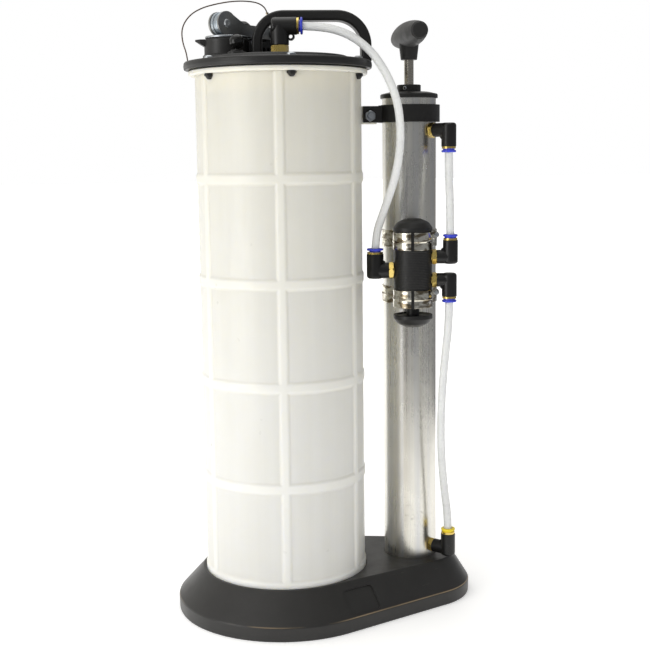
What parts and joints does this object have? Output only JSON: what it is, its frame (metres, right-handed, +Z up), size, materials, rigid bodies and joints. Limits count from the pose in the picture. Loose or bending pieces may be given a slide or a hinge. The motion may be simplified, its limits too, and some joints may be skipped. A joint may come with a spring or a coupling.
{
  "type": "hand vacuum pump",
  "caption": "Manual fluid extractor: ribbed translucent reservoir under a bolted lid with carry handle and lever-clamped pour neck, beside a hand pump with a push-pull changeover valve.",
  "frame": {"origin": "on the floor, under the middle of the base's outline", "axes": "+Z up; +X from the reservoir to the pump; -Y is the front, where the changeover valve faces"},
  "size_m": [0.3086, 0.224, 0.6168],
  "materials": {
    "black_plastic": "satin moulded, fine grain",
    "tank_plastic": "translucent off-white, blow moulded",
    "hose_plastic": "translucent white tube",
    "black_rubber": "matt",
    "tube_aluminium": "drawn, lightly scratched",
    "zinc_steel": "bright zinc plate",
    "bright_band": "polished stainless band",
    "rod_steel": "ground bar",
    "brass": "turned, nickel free",
    "blue_collet": "moulded",
    "yellow_collet": "moulded"
  },
  "bodies": {
    "base": {"base_plate": "black_plastic", "rubber_feet": "black_rubber", "pump_foot_screws": "zinc_steel", "reservoir": "tank_plastic", "lid_gasket": "black_rubber", "lid": "black_plastic", "lid_bolts": "zinc_steel", "lid_cap_nuts": "black_plastic", "carry_handle": "black_plastic", "handle_screws": "zinc_steel", "float_cage": "tank_plastic", "pickup_tube": "hose_plastic", "pour_spout": "black_plastic", "clamp_bracket": "black_plastic", "bracket_pins": "zinc_steel", "relief_valve_body": "brass", "relief_spring": "zinc_steel", "port_neck": "black_plastic", "large_elbows": "black_plastic", "small_elbows": "black_plastic", "elbow_studs": "brass", "elbow_rings": "brass", "pump_cylinder": "tube_aluminium", "pump_bottom_cap": "black_plastic", "pump_top_cap": "black_plastic", "rod_gland": "black_plastic", "rod_seal": "black_rubber", "pump_strap": "black_plastic", "strap_fasteners": "zinc_steel", "valve_body": "black_plastic", "valve_clamps": "bright_band", "clamp_screws": "zinc_steel", "valve_saddles": "bright_band", "reservoir_hose": "hose_plastic", "upper_pump_hose": "hose_plastic", "lower_pump_hose": "hose_plastic", "lanyard_wire": "zinc_steel", "lanyard_ferrule": "bright_band"},
    "piston": {"piston": "black_plastic", "piston_seal": "black_rubber"},
    "rod": {"pump_rod": "rod_steel", "pump_grip": "black_plastic"},
    "foot_disc": {"foot_check_disc": "black_rubber"},
    "float": {"float_ball": "tank_plastic"},
    "lever": {"clamp_lever": "zinc_steel", "roller_rivet": "zinc_steel"},
    "roller": {"clamp_roller": "zinc_steel"},
    "stopper": {"stopper_plate": "zinc_steel", "stopper_seal": "black_rubber"},
    "relief": {"relief_knob": "black_plastic"},
    "cap": {"port_cap": "black_plastic"},
    "spool": {"valve_spool": "black_plastic", "spool_seals": "black_rubber", "valve_buttons": "black_plastic"},
    "lid_release": {"lid_collet": "blue_collet"},
    "valve_inlet_release": {"valve_inlet_collet": "blue_collet"},
    "valve_upper_release": {"valve_upper_collet": "blue_collet"},
    "valve_lower_release": {"valve_lower_collet": "blue_collet"},
    "pump_top_release": {"pump_top_collet": "blue_collet"},
    "pump_foot_release": {"pump_foot_collet": "yellow_collet"}
  },
  "joints": [
    {"name": "pump_stroke", "type": "slide", "parent": "base", "child": "piston", "axis": [0, 0, 1], "range_m": [-0.024, 0.368]},
    {"name": "grip_turn", "type": "hinge", "parent": "piston", "child": "rod", "pos_m": [0.09235, 0, 0.101], "axis": [0, 0, 1], "range_deg": [-40, 80]},
    {"name": "foot_check_lift", "type": "slide", "parent": "base", "child": "foot_disc", "axis": [0, 0, 1], "range_m": [0, 0.0012]},
    {"name": "float_rise", "type": "slide", "parent": "base", "child": "float", "axis": [0, 0, 1], "range_m": [0, 0.015]},
    {"name": "lever_swing", "type": "hinge", "parent": "base", "child": "lever", "pos_m": [-0.04416, 0.04106, 0.583], "axis": [-0.5284, 0.849, 0], "range_deg": [0, 100]},
    {"name": "roller_spin", "type": "hinge", "parent": "lever", "child": "roller", "pos_m": [-0.09509, 0.00936, 0.5896], "axis": [-0.5284, 0.849, 0], "continuous": true},
    {"name": "stopper_swing", "type": "hinge", "parent": "base", "child": "stopper", "pos_m": [-0.06623, 0.02732, 0.5736], "axis": [-0.5284, 0.849, 0], "range_deg": [0, 60]},
    {"name": "relief_pull", "type": "slide", "parent": "base", "child": "relief", "axis": [0, 0, 1], "range_m": [0, 0.004], "stiffness_N_per_m": 700, "springref_m": -0.004, "deforming": ["relief_spring"]},
    {"name": "cap_turn", "type": "hinge", "parent": "base", "child": "cap", "pos_m": [-0.06935, 0.05, 0.57], "axis": [0, 0, 1], "range_deg": [0, 90]},
    {"name": "valve_shift", "type": "slide", "parent": "base", "child": "spool", "axis": [0, 0, 1], "range_m": [0, 0.007]},
    {"name": "lid_release_press", "type": "slide", "parent": "base", "child": "lid_release", "axis": [-0.9659, 0.2588, 0], "range_m": [0, 0.0012], "stiffness_N_per_m": 300, "springref_m": -0.001},
    {"name": "valve_inlet_release_press", "type": "slide", "parent": "base", "child": "valve_inlet_release", "axis": [0, 0, -1], "range_m": [0, 0.0012], "stiffness_N_per_m": 300, "springref_m": -0.001},
    {"name": "valve_upper_release_press", "type": "slide", "parent": "base", "child": "valve_upper_release", "axis": [0, 0, -1], "range_m": [0, 0.0012], "stiffness_N_per_m": 300, "springref_m": -0.001},
    {"name": "valve_lower_release_press", "type": "slide", "parent": "base", "child": "valve_lower_release", "axis": [0, 0, 1], "range_m": [0, 0.0012], "stiffness_N_per_m": 300, "springref_m": -0.001},
    {"name": "pump_top_release_press", "type": "slide", "parent": "base", "child": "pump_top_release", "axis": [0, 0, 1], "range_m": [0, 0.0012], "stiffness_N_per_m": 300, "springref_m": -0.001},
    {"name": "pump_foot_release_press", "type": "slide", "parent": "base", "child": "pump_foot_release", "axis": [0, 0, -1], "range_m": [0, 0.0012], "stiffness_N_per_m": 300, "springref_m": -0.001}
  ],
  "couplings": [
    {"joint": "stopper_swing", "follows": "lever_swing", "ratio": 0.6}
  ]
}
